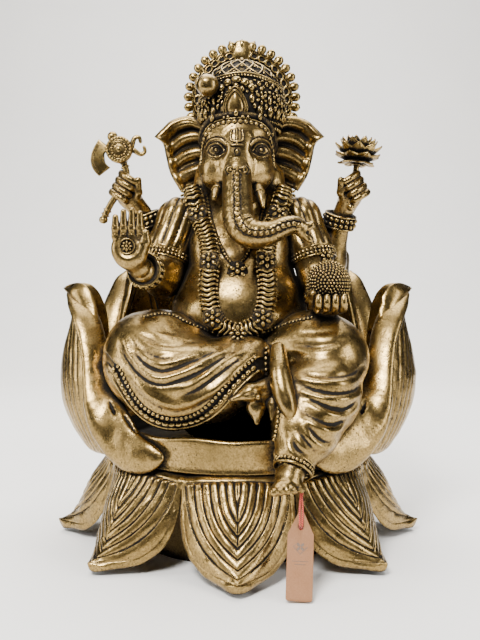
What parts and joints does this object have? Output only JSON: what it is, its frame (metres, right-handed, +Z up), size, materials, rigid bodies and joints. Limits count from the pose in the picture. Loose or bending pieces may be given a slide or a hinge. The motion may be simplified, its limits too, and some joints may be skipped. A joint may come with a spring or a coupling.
{
  "type": "ganesha idol",
  "caption": "Cast brass elephant-headed deity with crown and aureole, seated on a lotus throne with upturned petals, with a hanging tag.",
  "frame": {"origin": "on the floor at the middle of the foot ring, at the bottom centre of the lotus base", "axes": "+Z up; the figure looks along -Y; +X is towards the figure's left hand"},
  "size_m": [0.239, 0.2414, 0.3283],
  "materials": {
    "antique_brass": "polished high places over dark antique patina",
    "patinated_brass": "fine relief, dark patina in the hollows",
    "cast_brass_dark": "as cast, dark and rough",
    "zinc_steel": "zinc plated",
    "tag_card": "satin printed card",
    "red_thread": "twisted thread"
  },
  "bodies": {
    "idol": {"foot_ring": "cast_brass_dark", "seat_bowl": "antique_brass", "figure_stud": "zinc_steel", "figure_washer": "zinc_steel", "figure_nut": "zinc_steel", "lower_petal_front": "antique_brass", "lower_petal_front_left": "antique_brass", "lower_petal_left": "antique_brass", "lower_petal_rear_left": "antique_brass", "lower_petal_rear": "antique_brass", "lower_petal_rear_right": "antique_brass", "lower_petal_right": "antique_brass", "lower_petal_front_right": "antique_brass", "throne_petal_left": "antique_brass", "throne_petal_rear_left": "antique_brass", "throne_petal_rear": "antique_brass", "throne_petal_rear_right": "antique_brass", "throne_petal_right": "antique_brass", "torso": "antique_brass", "right_leg": "antique_brass", "left_leg": "antique_brass", "left_foot": "antique_brass", "dhoti_pleats": "antique_brass", "waist_sash": "antique_brass", "head": "antique_brass", "trunk": "antique_brass", "right_ear": "antique_brass", "left_ear": "antique_brass", "right_tusk": "antique_brass", "left_tusk": "antique_brass", "crown": "patinated_brass", "crown_bud": "antique_brass", "aureole": "patinated_brass", "right_front_arm": "antique_brass", "right_back_arm": "antique_brass", "left_front_arm": "antique_brass", "left_back_arm": "antique_brass", "right_front_hand": "antique_brass", "right_back_hand": "antique_brass", "left_front_hand": "antique_brass", "left_back_hand": "antique_brass", "axe": "antique_brass", "lotus_flower": "antique_brass", "modak": "antique_brass", "right_front_bangle": "patinated_brass", "right_back_bangle": "patinated_brass", "left_front_bangle": "patinated_brass", "left_back_bangle": "patinated_brass", "right_armlet": "patinated_brass", "left_armlet": "patinated_brass", "anklet": "patinated_brass", "garland": "antique_brass", "bead_necklace": "patinated_brass", "necklace_pendant": "antique_brass", "waist_belt": "patinated_brass"},
    "hang_tag": {"tag": "tag_card", "tag_thread": "red_thread"}
  },
  "joints": [
    {"name": "tag_swing", "type": "hinge", "parent": "idol", "child": "hang_tag", "pos_m": [0.0349, -0.097, 0.0519], "axis": [1, 0, 0], "range_deg": [-45, 0]}
  ]
}
